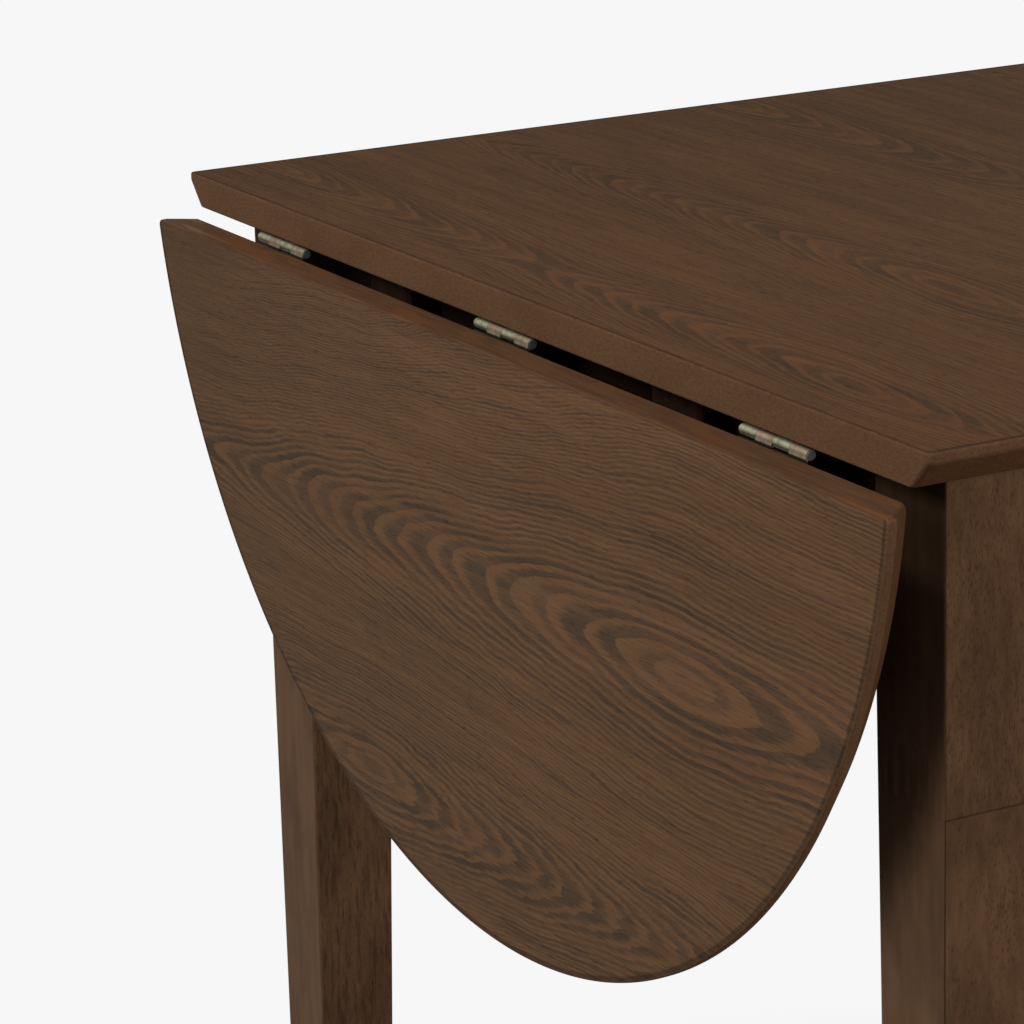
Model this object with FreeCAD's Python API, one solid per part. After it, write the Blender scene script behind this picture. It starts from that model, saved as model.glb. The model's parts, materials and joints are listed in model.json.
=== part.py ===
"""Drop-leaf table with two D-shaped leaves, its leaves hanging.

Frame: +Z up, X across the table from leaf to leaf, Y along the hinge lines, origin on the floor
under the middle of the table. "left" is -X, "near" is -Y. Millimetres.
Each leaf is drawn raised, level with the top, and is then swung down about its hinge pins.
"""
import FreeCAD
import Part
import math
import os

V = FreeCAD.Vector
X_AXIS, Y_AXIS, Z_AXIS = V(1, 0, 0), V(0, 1, 0), V(0, 0, 1)

# ---------------------------------------------------------------- driving dimensions
# boards
table_height = 750.0
top_length = 700.0            # along the hinge lines, and the chord of each leaf
top_width = 600.0             # fixed top, from hinge edge to hinge edge
core_thickness = 16.0
veneer_thickness = 0.6
leaf_depth = 300.0            # how far a raised leaf reaches out
edge_band = 4.0               # upright part of the moulded edge, below the face
edge_inset = 12.0             # how far the under-bevel runs in at the underside
edge_round = 4.0              # round between the under-bevel and the underside
arris_round = 1.0
corner_round = 3.0            # corners of the top and tips of the leaves, in plan

# butt hinges
pin_drop = 2.9                # pin axis below the undersides of the boards
pin_inset = 0.6               # pin axis in from the top's hinge edge
leaf_setback = 2.7            # pin axis to the leaf's butt edge
hang_lean = 1.4               # degrees by which a hanging leaf leans in from plumb
hinge_length = 53.0
hinge_from_end = 87.0         # outer hinges from the ends of the top
plate_width = 22.0            # pin axis to the plate's far edge
plate_thickness = 1.2
plate_corner = 3.0
plate_relief = 0.4            # plate edge to the other plate's knuckles
strap_run = 1.8               # ramp from the barrel's top up to the plate's face
barrel_radius = 2.4
pin_radius = 1.2
pin_clearance = 0.05
knuckle_count = 4
knuckle_gap = 0.3
pin_end = 0.5                 # how far the pin stands out at each end of the barrel

# legs and glides
leg_inset = 25.0              # outer faces of the legs from the edges of the top
leg_width = 52.0
foot_width = 38.0
leg_head = 93.0               # square head of the leg, below the top
leg_arris = 1.5
leg_flat = 7.0                # flat on the head's inner corner, where the bolts enter
glide_height = 5.0
glide_radius = 12.0
glide_edge = 1.5
glide_nail_radius = 1.3
glide_nail_length = 14.0

# aprons and corner blocks
apron_height = 75.0
apron_thickness = 20.0
apron_setback = 3.0           # apron face behind the legs' outer faces
block_height = 60.0
block_thickness = 20.0
block_gap = 6.0               # corner block to the leg's square corner
bolt_radius = 4.0
bolt_in_leg = 34.0
bolt_pitch = 30.0
washer_radius = 9.0
washer_thickness = 1.6
nut_width = 13.0
nut_height = 6.5
bolt_tail = 4.0               # bolt end past the nut
bolt_clearance = 0.5
thread_gap = 0.1              # bolt to nut, washer and leg, and nail to leg

# pull-out leaf supports
loper_width = 42.0
loper_height = 20.0
loper_meeting_gap = 30.0      # between the inner ends of two stowed lopers
loper_from_end = 212.5        # centre line from the end of the top
loper_end_inset = 10.0        # stowed end in from the top's hinge edge
loper_hold = 47.0             # what stays behind the apron when a loper is pulled right out
loper_top_gap = 0.3
loper_side_gap = 0.5
loper_chamfer = 2.0
peg_radius = 4.0
peg_end_distance = 20.0       # peg to the loper's inner end
peg_reach = 5.0               # how far the peg stands out into each groove
groove_gap = 0.3
groove_end_gap = 0.5
notch_gap = 0.3               # under the loper, in the apron
peg_fit = 0.05
rail_width = 18.0
rail_height = 30.0

# brackets between the aprons and the top
bracket_leg = 24.0
bracket_width = 20.0
bracket_thickness = 2.0
bracket_spread = 45.0         # brackets on the long aprons, from the middle
bracket_from_leg = 113.0      # brackets on the end aprons, from the legs

# ---------------------------------------------------------------- derived places
board_thickness = core_thickness + 2 * veneer_thickness
underside = table_height - board_thickness
hinge_edge = top_width / 2
half_length = top_length / 2
pin_x = hinge_edge - pin_inset
pin_z = underside - pin_drop
leaf_butt = pin_x + leaf_setback                     # butt edge of a raised leaf
leaf_radius = (half_length ** 2 + leaf_depth ** 2) / (2 * leaf_depth)
leaf_centre = leaf_butt + leaf_depth - leaf_radius
hang_angle = 90.0 + hang_lean

leg_face_x = hinge_edge - leg_inset
leg_face_y = half_length - leg_inset
leg_inner_x = leg_face_x - leg_width
leg_inner_y = leg_face_y - leg_width
apron_face_x = leg_face_x - apron_setback
apron_face_y = leg_face_y - apron_setback
apron_inner_x = apron_face_x - apron_thickness
apron_inner_y = apron_face_y - apron_thickness
apron_bottom = underside - apron_height

loper_outer_end = hinge_edge - loper_end_inset
loper_inner_end = loper_meeting_gap / 2
loper_travel = apron_inner_x - loper_hold - loper_inner_end   # full pull, with the leaf up
loper_middle = half_length - loper_from_end
loper_top = underside - loper_top_gap
peg_x = loper_inner_end + peg_end_distance
peg_z = loper_top - loper_height / 2

foot_centre = V(leg_face_x - foot_width / 2, leg_face_y - foot_width / 2, glide_height)
block_middle = apron_bottom + apron_height / 2
inward = V(-math.sqrt(0.5), -math.sqrt(0.5), 0)       # from the right far leg towards the middle

half_turn = 180.0
quarters = ((-1, -1), (-1, 1), (1, -1), (1, 1))
side_names = {-1: "left", 1: "right"}
end_names = {-1: "near", 1: "far"}


# ---------------------------------------------------------------- helpers
def block(x0, x1, y0, y1, z0, z1):
    """Box between two opposite corners, in any order."""
    low = V(min(x0, x1), min(y0, y1), min(z0, z1))
    return Part.makeBox(abs(x1 - x0), abs(y1 - y0), abs(z1 - z0), low)


def rod(radius, length, start, direction):
    return Part.makeCylinder(radius, length, start, direction)


def prism(points, sweep):
    """Straight-sided outline swept along a vector."""
    return Part.Face(Part.makePolygon(points + points[:1])).extrude(sweep)


def soften(shape, radius):
    """Round off the upright edges of a piece."""
    upright = [edge for edge in shape.Edges if abs(edge.tangentAt(edge.FirstParameter).z) > 0.99]
    return shape.makeFillet(radius, upright)


def at_quarter(shape, side, end):
    """Place a piece drawn for the right far quarter into another quarter, by mirroring."""
    if side < 0:
        shape = shape.mirror(V(0, 0, 0), X_AXIS)
    if end < 0:
        shape = shape.mirror(V(0, 0, 0), Y_AXIS)
    return shape


def swing_down(shape):
    """Swing a piece of the right leaf from level to its hanging place."""
    placed = shape.copy()
    placed.rotate(V(pin_x, 0, pin_z), Y_AXIS, hang_angle)
    return placed


def turn_left(shape):
    """The left leaf, its hinges and its lopers are the right ones turned half round."""
    placed = shape.copy()
    placed.rotate(V(0, 0, 0), Z_AXIS, half_turn)
    return placed


# ---------------------------------------------------------------- moulded edge
def edge_profile(inner, outer, across):
    """Section of a board from inner to outer, with the moulded edge at outer.

    across is the horizontal direction of the section; the face is at the table's height.
    """
    def point(run, height):
        return across * run + Z_AXIS * height

    slope = math.atan2(edge_inset, board_thickness - edge_band)
    turn = math.pi / 2 - slope                        # from the under-bevel to the underside
    tangent = edge_round * math.tan(turn / 2)
    foot = V(outer - edge_inset, underside, 0)        # where bevel and underside would meet
    bevel_end = foot + V(math.sin(slope), math.cos(slope), 0) * tangent
    flat_end = foot - V(tangent, 0, 0)
    pull = edge_round * (1 / math.cos(turn / 2) - 1)
    bisector = slope / 2 + math.pi / 4
    middle = foot + V(-math.cos(bisector), math.sin(bisector), 0) * pull
    shoulder = arris_round * (1 - math.sqrt(0.5))
    band_low = point(outer, table_height - edge_band)
    curve = [
        Part.LineSegment(point(inner, table_height), point(outer - arris_round, table_height)),
        Part.Arc(point(outer - arris_round, table_height), point(outer - shoulder, table_height - shoulder),
                 point(outer, table_height - arris_round)),
        Part.LineSegment(point(outer, table_height - arris_round), band_low),
        Part.LineSegment(band_low, point(bevel_end.x, bevel_end.y)),
        Part.Arc(point(bevel_end.x, bevel_end.y), point(middle.x, middle.y), point(flat_end.x, flat_end.y)),
        Part.LineSegment(point(flat_end.x, flat_end.y), point(inner, underside)),
        Part.LineSegment(point(inner, underside), point(inner, table_height)),
    ]
    return Part.Face(Part.Wire([piece.toShape() for piece in curve]))


def make_top():
    """Fixed top: moulded at both short ends, square along the hinge edges."""
    half = edge_profile(0.0, half_length, Y_AXIS)
    half.translate(V(-hinge_edge, 0, 0))
    far_half = half.extrude(X_AXIS * top_width)
    board = far_half.fuse(far_half.mirror(V(0, 0, 0), Y_AXIS)).removeSplitter()
    outline = block(-hinge_edge, hinge_edge, -half_length, half_length, 0, table_height)
    return board.common(soften(outline, corner_round))


def make_leaf():
    """Right leaf, raised: a moulded half disc cut off along its butt edge, its two tips rounded."""
    section = edge_profile(0.0, leaf_radius, X_AXIS)
    section.rotate(V(0, 0, 0), Z_AXIS, -half_turn / 2)
    section.translate(V(leaf_centre, 0, 0))
    disc = section.revolve(V(leaf_centre, 0, 0), Z_AXIS, half_turn)
    keep = block(leaf_butt, leaf_butt + top_length, -half_length, half_length, 0, table_height + 1)
    return disc.common(soften(keep, corner_round))


# ---------------------------------------------------------------- hinges
def knuckle_span(index):
    """Start and end of one knuckle along the barrel, counted from its start."""
    pitch = hinge_length / knuckle_count
    start = -hinge_length / 2 + index * pitch
    return start + knuckle_gap / 2, start + pitch - knuckle_gap / 2


def hinge_plate(own_knuckles):
    """One plate with its knuckles: pin axis along Y through the origin, face up at pin_drop."""
    low, high = pin_drop - plate_thickness, pin_drop
    edge = barrel_radius + plate_relief
    half = hinge_length / 2
    plate = soften(block(edge, plate_width, -half, half, low, high), plate_corner)
    plate = plate.fuse(block(edge, edge + plate_corner, -half, half, low, high))
    for index in own_knuckles:
        start, end = knuckle_span(index)
        strap = [V(0, start, barrel_radius), V(strap_run, start, high), V(edge, start, high),
                 V(edge, start, low), V(0, start, 0)]
        plate = plate.fuse(prism(strap, Y_AXIS * (end - start)))
        plate = plate.fuse(rod(barrel_radius, end - start, V(0, start, 0), Y_AXIS))
    bore = rod(pin_radius + pin_clearance, hinge_length, V(0, -half, 0), Y_AXIS)
    return plate.cut(bore).removeSplitter()


def to_hinge(shape, side, hinge_y):
    """Bring one piece of a right hinge to its place: side -1 under the top, 1 under the leaf."""
    placed = shape.copy()
    if side < 0:
        placed.rotate(V(0, 0, 0), Z_AXIS, half_turn)
    placed.translate(V(pin_x, hinge_y, pin_z))
    return placed


outer_hinge_y = half_length - hinge_from_end - hinge_length / 2
hinge_places = {"near": -outer_hinge_y, "middle": 0.0, "far": outer_hinge_y}


def hinge_pin():
    """Pin with rounded ends that stand a little out of the barrel."""
    length = hinge_length + 2 * pin_end
    pin = rod(pin_radius, length, V(0, -length / 2, 0), Y_AXIS)
    return pin.makeChamfer(pin_end * 0.8, [edge for edge in pin.Edges if len(edge.Vertexes) == 1])


# ---------------------------------------------------------------- legs and glides
def leg_section(width, height):
    """Outline of the right far leg at one height: a square with its corners rounded."""
    bar = soften(block(leg_face_x - width, leg_face_x, leg_face_y - width, leg_face_y, height, height + 1),
                 leg_arris)
    return min(bar.Faces, key=lambda face: face.CenterOfMass.z).OuterWire


def make_leg():
    """Leg of the right far quarter: square head, then only the two inner faces taper."""
    head_low = underside - leg_head
    head = Part.Face(leg_section(leg_width, head_low)).extrude(Z_AXIS * leg_head)
    outlines = [leg_section(foot_width, glide_height), leg_section(leg_width, head_low)]
    shank = Part.makeLoft(outlines, True, True)
    leg = head.fuse(shank).removeSplitter()
    corner = V(leg_inner_x, leg_inner_y, 0)
    flat = [corner + V(-leg_flat, 2 * leg_flat, 0), corner + V(2 * leg_flat, -leg_flat, 0),
            corner - V(leg_flat, leg_flat, 0)]
    flat = prism(flat, Z_AXIS * leg_head)
    flat.translate(V(0, 0, underside - leg_head))
    leg = leg.cut(flat)
    for bolt in make_bolts(thread_gap):
        leg = leg.cut(bolt)
    return leg.cut(rod(glide_nail_radius + thread_gap, glide_nail_length + thread_gap, foot_centre, Z_AXIS))


def make_glide():
    """Round foot glide with its nail, right far quarter."""
    centre = foot_centre - Z_AXIS * glide_height
    disc = rod(glide_radius, glide_height, centre, Z_AXIS)
    rim = [edge for edge in disc.Edges if len(edge.Vertexes) == 1 and edge.CenterOfMass.z < glide_height / 2]
    nail = rod(glide_nail_radius, glide_nail_length, foot_centre, Z_AXIS)
    return disc.makeChamfer(glide_edge, rim).fuse(nail)


# ---------------------------------------------------------------- aprons
def make_long_apron():
    """Right apron, along the hinge line, notched for the two lopers of its side."""
    apron = block(apron_inner_x, apron_face_x, -leg_inner_y, leg_inner_y, apron_bottom, underside)
    half_notch = loper_width / 2 + loper_side_gap
    for end in (-1, 1):
        middle = end * loper_middle
        notch = block(apron_inner_x, apron_face_x, middle - half_notch, middle + half_notch,
                      loper_top - loper_height - notch_gap, underside)
        apron = apron.cut(notch)
    return apron


def make_end_apron():
    """Far apron, across the table."""
    return block(-leg_inner_x, leg_inner_x, apron_inner_y, apron_face_y, apron_bottom, underside)


# ---------------------------------------------------------------- corner blocks and bolts
def diagonal_cut(distance, limit_x, limit_y):
    """Where a 45 degree line, this far inside the leg's inner corner, meets the two apron faces."""
    total = leg_inner_x + leg_inner_y - distance * math.sqrt(2)
    return V(limit_x, total - limit_x, 0), V(total - limit_y, limit_y, 0)


def make_corner_block():
    """Block across the right far corner, between the inner faces of two aprons."""
    outer = diagonal_cut(block_gap, apron_inner_x, apron_inner_y)
    inner = diagonal_cut(block_gap + block_thickness, apron_inner_x, apron_inner_y)
    piece = prism([outer[0], outer[1], inner[1], inner[0]], Z_AXIS * block_height)
    piece.translate(V(0, 0, block_middle - block_height / 2))
    for hole in make_bolts(bolt_clearance):
        piece = piece.cut(hole)
    return piece


def bolt_row(distance):
    """Points on both bolt axes, this far inside the leg's inner corner (right far quarter)."""
    corner = V(leg_inner_x, leg_inner_y, block_middle)
    return [corner + inward * distance + Z_AXIS * rise for rise in (-bolt_pitch / 2, bolt_pitch / 2)]


def make_bolts(clearance=0.0):
    """Hanger bolts of one leg; with a clearance they are their holes."""
    length = bolt_in_leg + block_gap + block_thickness + washer_thickness + nut_height + bolt_tail
    return [rod(bolt_radius + clearance, length + clearance, start - inward * clearance, inward)
            for start in bolt_row(-bolt_in_leg)]


def make_washers():
    washers = []
    for start in bolt_row(block_gap + block_thickness):
        ring = rod(washer_radius, washer_thickness, start, inward)
        washers.append(ring.cut(rod(bolt_radius + thread_gap, washer_thickness, start, inward)))
    return washers


def make_nuts():
    """Hexagon nuts on the washers."""
    sideways = V(-inward.y, inward.x, 0)
    nuts = []
    for start in bolt_row(block_gap + block_thickness + washer_thickness):
        reach = nut_width / 2 / math.cos(math.pi / 6)
        corners = [start + sideways * (reach * math.cos(turn * math.pi / 3))
                   + Z_AXIS * (reach * math.sin(turn * math.pi / 3)) for turn in range(6)]
        nut = prism(corners, inward * nut_height)
        nuts.append(nut.cut(rod(bolt_radius + thread_gap, nut_height, start, inward)))
    return nuts


# ---------------------------------------------------------------- pull-out supports and their rails
def make_loper():
    """Right far loper, pushed home: a bar under the top with a cross peg near its inner end."""
    half = loper_width / 2
    bar = block(loper_inner_end, loper_outer_end, -half, half, loper_top - loper_height, loper_top)
    nose = [edge for edge in bar.Edges if edge.BoundBox.XMin > loper_outer_end - 0.01]
    bar = bar.makeChamfer(loper_chamfer, nose)
    hole = rod(peg_radius + peg_fit, loper_width, V(peg_x, -half, peg_z), Y_AXIS)
    bar = bar.cut(hole)
    bar.translate(V(0, loper_middle, 0))
    return bar


def make_peg():
    reach = loper_width / 2 + loper_side_gap + peg_reach
    return rod(peg_radius, 2 * reach, V(peg_x, loper_middle - reach, peg_z), Y_AXIS)


def make_rail(end, flank):
    """Guide rail beside the lopers of one end: flank 1 is its outer rail, -1 its inner one."""
    near_face = loper_middle + flank * (loper_width / 2 + loper_side_gap)
    rail = block(-apron_inner_x, apron_inner_x, near_face, near_face + flank * rail_width,
                 underside - rail_height, underside)
    groove_half = peg_radius + groove_gap
    groove_start = peg_x - peg_radius - groove_end_gap
    groove_end = peg_x + loper_travel + peg_radius + groove_end_gap
    groove = block(groove_start, groove_end, near_face, near_face + flank * (peg_reach + groove_gap),
                   peg_z - groove_half, peg_z + groove_half)
    return at_quarter(rail.cut(groove).cut(at_quarter(groove, -1, 1)), 1, end)


# ---------------------------------------------------------------- brackets under the top
def angle_bracket(place, inward_axis, along):
    """Steel angle in the corner of an apron's inner face and the top's underside."""
    low = Z_AXIS * -bracket_leg
    thin = inward_axis * bracket_thickness
    points = [place, place + low, place + low + thin, place + thin - Z_AXIS * bracket_thickness,
              place + inward_axis * bracket_leg - Z_AXIS * bracket_thickness,
              place + inward_axis * bracket_leg]
    points = [point - along * (bracket_width / 2) for point in points]
    return prism(points, along * bracket_width)


def make_brackets():
    """Both brackets of the right far quarter: one on the long apron, one on the end apron."""
    on_long = angle_bracket(V(apron_inner_x, bracket_spread, underside), X_AXIS * -1, Y_AXIS)
    on_end = angle_bracket(V(leg_inner_x - bracket_from_leg, apron_inner_y, underside), Y_AXIS * -1, X_AXIS)
    return [on_long, on_end]


# ---------------------------------------------------------------- every piece in its place
def all_quarters(make_pieces):
    return [at_quarter(piece, side, end) for side, end in quarters for piece in make_pieces()]


def build():
    pieces = {}
    pieces["top_panel"] = make_top()
    leaf = swing_down(make_leaf())
    pieces["leaf_right"] = leaf
    pieces["leaf_left"] = turn_left(leaf)

    top_plate = hinge_plate([knuckle_count - 1 - index for index in range(0, knuckle_count, 2)])
    leaf_plate = hinge_plate(range(1, knuckle_count, 2))
    turned_names = {"near": "far", "middle": "middle", "far": "near"}
    for place, hinge_y in hinge_places.items():
        right = {
            "top_plate": to_hinge(top_plate, -1, hinge_y),
            "leaf_plate": swing_down(to_hinge(leaf_plate, 1, hinge_y)),
            "pin": to_hinge(hinge_pin(), 1, hinge_y),
        }
        for name, shape in right.items():
            pieces["hinge_right_%s_%s" % (place, name)] = shape
            pieces["hinge_left_%s_%s" % (turned_names[place], name)] = turn_left(shape)

    pieces["apron_right"] = make_long_apron()
    pieces["apron_left"] = turn_left(make_long_apron())
    pieces["apron_far"] = make_end_apron()
    pieces["apron_near"] = turn_left(make_end_apron())
    leg = make_leg()
    corner_block = make_corner_block()
    for side, end in quarters:
        corner = "%s_%s" % (side_names[side], end_names[end])
        pieces["leg_" + corner] = at_quarter(leg, side, end)
        pieces["corner_block_" + corner] = at_quarter(corner_block, side, end)
        pieces["loper_" + corner] = at_quarter(make_loper(), side, end)
        pieces["loper_peg_" + corner] = at_quarter(make_peg(), side, end)
    for end in (-1, 1):
        for flank, flank_name in ((-1, "inner"), (1, "outer")):
            pieces["guide_rail_%s_%s" % (end_names[end], flank_name)] = make_rail(end, flank)

    groups = {
        "leg_bolts": all_quarters(make_bolts),
        "leg_bolt_washers": all_quarters(make_washers),
        "leg_bolt_nuts": all_quarters(make_nuts),
        "top_brackets": all_quarters(make_brackets),
        "foot_glides": all_quarters(lambda: [make_glide()]),
    }
    for name, solids in groups.items():
        pieces[name] = Part.makeCompound(solids)
    return pieces


os.makedirs("parts", exist_ok=True)
built = build()
for node, shape in sorted(built.items()):
    shape.exportStep("parts/%s.step" % node)
whole = Part.makeCompound(list(built.values()))
print("nodes", len(built))
box = whole.optimalBoundingBox(False, False)
print("extents", [round(value, 2) for value in (box.XLength, box.YLength, box.ZLength)])
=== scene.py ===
# %% [markdown]
# # A drop-leaf table with two D-shaped leaves
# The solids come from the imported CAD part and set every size, place and joint. This script dresses them:
# it eases their edges, draws the wood's figure, adds the small screws, and lights the table.
# Lengths are in metres, or in millimetres where a name or a comment says mm.

# %% Bring in the solids
import json
import math

import bmesh
import bpy
from mathutils import Matrix, Vector

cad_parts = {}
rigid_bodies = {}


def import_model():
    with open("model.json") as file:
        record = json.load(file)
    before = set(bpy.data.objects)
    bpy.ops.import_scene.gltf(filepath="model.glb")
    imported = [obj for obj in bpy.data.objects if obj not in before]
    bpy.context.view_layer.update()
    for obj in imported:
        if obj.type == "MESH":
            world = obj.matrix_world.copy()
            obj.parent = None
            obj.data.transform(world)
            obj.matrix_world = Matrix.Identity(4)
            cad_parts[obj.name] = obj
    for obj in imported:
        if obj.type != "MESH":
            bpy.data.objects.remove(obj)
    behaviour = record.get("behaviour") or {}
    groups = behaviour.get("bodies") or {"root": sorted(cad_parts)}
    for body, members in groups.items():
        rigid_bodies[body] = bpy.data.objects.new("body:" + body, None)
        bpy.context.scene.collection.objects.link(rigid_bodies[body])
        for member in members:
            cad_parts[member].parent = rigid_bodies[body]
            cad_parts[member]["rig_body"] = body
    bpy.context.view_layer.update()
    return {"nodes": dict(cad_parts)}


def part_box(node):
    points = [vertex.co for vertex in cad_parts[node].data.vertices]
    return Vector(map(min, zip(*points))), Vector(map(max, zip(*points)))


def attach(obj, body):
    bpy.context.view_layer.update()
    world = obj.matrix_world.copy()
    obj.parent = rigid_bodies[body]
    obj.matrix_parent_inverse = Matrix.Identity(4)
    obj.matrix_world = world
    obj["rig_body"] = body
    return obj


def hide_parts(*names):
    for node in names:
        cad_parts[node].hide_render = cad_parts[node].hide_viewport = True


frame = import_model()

MM = 0.001

# %% [markdown]
# ## Where the maker looks from
# A long lens from a couple of metres keeps the near leaf and the far edge of the top in proportion. The
# camera is placed by its three axes, which is exact, and needs no constraint that another view would fight.

# %% Camera
camera_forward = Vector((0.45809608, 0.84512473, -0.27552163))
camera_right = Vector((0.87507297, -0.4832218, -0.02727626))
camera_up = Vector((0.1561899, 0.22860638, 0.96090782))
camera_place = Vector((-1.19760, -1.65898, 1.18357))


def put(name, data):
    """A new object in the scene."""
    made = bpy.data.objects.new(name, data)
    bpy.context.scene.collection.objects.link(made)
    return made


lens = bpy.data.cameras.new("studio_camera")
lens.sensor_width = 36.0
lens.lens = 145.82
lens.clip_end = 100.0
camera = put("studio_camera", lens)
axes = Matrix((camera_right, camera_up, -camera_forward)).transposed().to_4x4()
camera.matrix_world = Matrix.Translation(camera_place) @ axes
bpy.context.scene.camera = camera
print("camera", round(camera_place.length, 2), "m from the origin")

# %% [markdown]
# ## Small helpers for node trees
# Most of a node tree is arithmetic, so it is easier to follow when it reads as arithmetic. A Wire is one
# output of a node. A sum or a product with it adds a Math node to the same tree and gives that node's output.
# The functions after it wrap the nodes that this table uses most, in shader trees and geometry trees alike.

# %% Wires
class Wire:
    """One output socket of a tree; arithmetic with it becomes Math nodes."""

    def __init__(self, tree, socket):
        self.tree, self.socket = tree, socket

    def maths(self, operation, *others):
        return wire(self.tree, "Math", dict(enumerate((self, *others))), operation=operation)

    def after(self, operation, first):
        return wire(self.tree, "Math", {0: first, 1: self}, operation=operation)

    def line(self, slope, base):
        """A straight line: the value times slope, plus base."""
        return self.maths("MULTIPLY_ADD", slope, base)

    def __add__(self, other):
        return self.maths("ADD", other)

    def __sub__(self, other):
        return self.maths("SUBTRACT", other)

    def __rsub__(self, first):
        return self.after("SUBTRACT", first)

    def __mul__(self, other):
        return self.maths("MULTIPLY", other)

    def __truediv__(self, other):
        return self.maths("DIVIDE", other)

    def __rtruediv__(self, first):
        return self.after("DIVIDE", first)

    def __abs__(self):
        return self.maths("ABSOLUTE")


def feed(socket, value):
    """Join a socket to a wire, or give it a plain value."""
    if isinstance(value, Wire):
        value.tree.links.new(value.socket, socket)
    else:
        socket.default_value = value


def fill(node, inputs):
    for key, value in inputs.items():
        feed(node.inputs[key], value)


def add(tree, kind, inputs=None, **settings):
    """Add a node, set its options and fill its sockets. A kind with no family name is a shader node."""
    made = tree.nodes.new(kind if "Node" in kind else "ShaderNode" + kind)
    for option, value in settings.items():
        setattr(made, option, value)
    fill(made, inputs or {})
    return made


def wire(tree, kind, inputs=None, output=0, **settings):
    """Add a node and give one of its outputs."""
    return Wire(tree, add(tree, kind, inputs, **settings).outputs[output])


# %% Vectors, steps and noise
def vector_of(*parts):
    """A vector of up to three values, at least one of them a wire."""
    tree = next(part.tree for part in parts if isinstance(part, Wire))
    return wire(tree, "CombineXYZ", dict(enumerate(parts)))


def split(vector):
    """The x, y and z of a vector."""
    return [Wire(vector.tree, part) for part in add(vector.tree, "SeparateXYZ", {0: vector}).outputs]


def length_of(vector):
    return wire(vector.tree, "VectorMath", {0: vector}, "Value", operation="LENGTH")


def scaled(vector, factor):
    return wire(vector.tree, "VectorMath", {0: vector, "Scale": factor}, operation="SCALE")


def ramp(value, low, high, to_low=0.0, to_high=1.0):
    """Smooth step of a value from low to high; low may be the larger."""
    return wire(value.tree, "MapRange", {"Value": value, "From Min": low, "From Max": high, "To Min": to_low,
                                         "To Max": to_high}, "Result", interpolation_type="SMOOTHSTEP")


def noise(vector, detail=2.0, roughness=0.5):
    """Noise of a vector that is already scaled; gives a value from about 0.2 to 0.8."""
    return wire(vector.tree, "TexNoise", {"Vector": vector, "Scale": 1.0, "Detail": detail,
                                          "Roughness": roughness}, "Fac")


# %% Colours
def colour_of(red, green, blue):
    """A colour given as 0 to 255 display values, as the linear colour that a socket takes."""
    def linear(value):
        share = value / 255
        return share / 12.92 if share <= 0.04045 else ((share + 0.055) / 1.055) ** 2.4
    return (linear(red), linear(green), linear(blue), 1.0)


def blend_colours(share, first, second):
    """Mix two colours; a share of 1 gives the second."""
    return wire(share.tree, "Mix", {0: share, 6: first, 7: second}, 2, data_type="RGBA")


def darken(colour, share, depth):
    """Multiply a colour down by depth where share is 1."""
    return scaled(colour, share.line(-depth, 1.0))


# %% Groups
SOCKET_KINDS = {"VALUE": "Float", "RGBA": "Color", "GEOMETRY": "Geometry"}


def new_group(name, inputs, family="Shader"):
    """A node group, and its inputs as wires. Each input has a number, or a word for its kind."""
    group = bpy.data.node_groups.new(name, family + "NodeTree")
    for socket, value in inputs.items():
        kind = value if isinstance(value, str) else "Int" if isinstance(value, int) else "Float"
        made = group.interface.new_socket(socket, in_out="INPUT", socket_type="NodeSocket" + kind)
        if kind != value:
            made.default_value = value
    sockets = group.nodes.new("NodeGroupInput").outputs
    return group, {socket: Wire(group, sockets[socket]) for socket in inputs}


def close_group(group, results):
    """Give a group its named outputs."""
    for name, value in results.items():
        kind = SOCKET_KINDS[value.socket.type]
        group.interface.new_socket(name, in_out="OUTPUT", socket_type="NodeSocket" + kind)
    fill(group.nodes.new("NodeGroupOutput"), results)
    return group


def use_group(tree, group, inputs):
    made = tree.nodes.new("ShaderNodeGroup")
    made.node_tree = group
    fill(made, inputs)
    return {socket.name: Wire(tree, socket) for socket in made.outputs}


def empty_tree(owner):
    """The cleared node tree of a world or a material."""
    owner.use_nodes = True
    owner.node_tree.nodes.clear()
    return owner.node_tree


# %% [markdown]
# ## Plain studio
# The table stands on a pale floor in soft light. Large lamps a little to one side shape the edges, and an
# even sky keeps the shadows open. Rays that go straight to the eye, or bounce off metal, see a plain pale
# backdrop, so its brightness costs the wood no contrast. Near the table the floor is a real surface and keeps
# the table's shadow; far away it fades into the backdrop. Seen from below it is clear, so that the underside
# can be looked at too.

# %% Sky and backdrop
BACKDROP = colour_of(247, 247, 247)
SKY_LIGHT = 0.21


def seen_directly(tree):
    """1 for rays from the eye or off a shiny or clear surface."""
    path = add(tree, "LightPath").outputs
    seen = Wire(tree, path["Is Camera Ray"]).maths("MAXIMUM", Wire(tree, path["Is Glossy Ray"]))
    return seen.maths("MAXIMUM", Wire(tree, path["Is Transmission Ray"]))


world = bpy.data.worlds.new("studio_sky")
bpy.context.scene.world = world
sky = empty_tree(world)
seen = seen_directly(sky)
backdrop = wire(sky, "Background", {"Color": BACKDROP, "Strength": 1.0})
skylight = wire(sky, "Background", {"Color": (1.0, 1.0, 1.0, 1.0), "Strength": SKY_LIGHT})
add(sky, "OutputWorld", {"Surface": wire(sky, "MixShader", {0: seen, 1: skylight, 2: backdrop})})

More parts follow.
